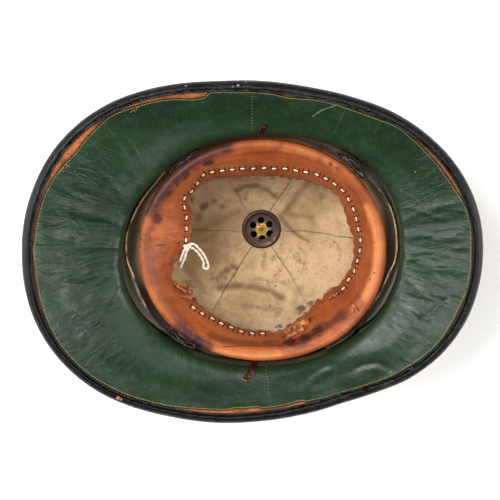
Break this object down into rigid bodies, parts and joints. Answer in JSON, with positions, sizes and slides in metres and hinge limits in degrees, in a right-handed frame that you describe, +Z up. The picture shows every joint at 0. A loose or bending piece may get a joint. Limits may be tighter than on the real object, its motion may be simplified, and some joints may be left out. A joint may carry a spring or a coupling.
{
  "type": "pith helmet",
  "caption": "Worn pith helmet lying on its crown, with a leather-lined brim, a laced leather sweatband, chin-strap hooks and a pierced ventilator in the crown.",
  "frame": {"origin": "middle of the flat face of the ventilator cap, on the floor under the upturned crown", "axes": "+X towards the front of the helmet, +Y towards the wearer's right side, +Z up, out of the upturned hollow"},
  "size_m": [0.3531, 0.2673, 0.1662],
  "materials": {
    "khaki_drill": "woven cotton drill, matt",
    "green_leather": "dark green leather with a soft sheen and fine creases",
    "tan_strip": "bare tan leather, matt",
    "canvas": "stained khaki canvas",
    "black_leather": "black leather, rubbed and shiny in places",
    "tan_leather": "smooth tan leather, stained, with a soft sheen",
    "brown_leather": "dark brown leather",
    "copper": "tarnished copper-coloured metal",
    "aged_brass": "dark patina, worn to brass round the middle",
    "lace_cotton": "off-white twisted cotton"
  },
  "bodies": {
    "root": {"helmet_shell": "khaki_drill", "brim_lining": "green_leather", "rim_strip": "tan_strip", "crown_lining": "canvas", "edge_binding": "black_leather", "sweatband": "tan_leather", "spacer_loop_back_right": "brown_leather", "spacer_loop_front_right": "brown_leather", "spacer_loop_back_left": "brown_leather", "spacer_loop_front_left": "brown_leather", "chin_strap_hook_right": "copper", "chin_strap_hook_left": "copper", "vent_plate": "aged_brass", "vent_cap": "khaki_drill", "lace_bow": "lace_cotton"}
  },
  "joints": []
}
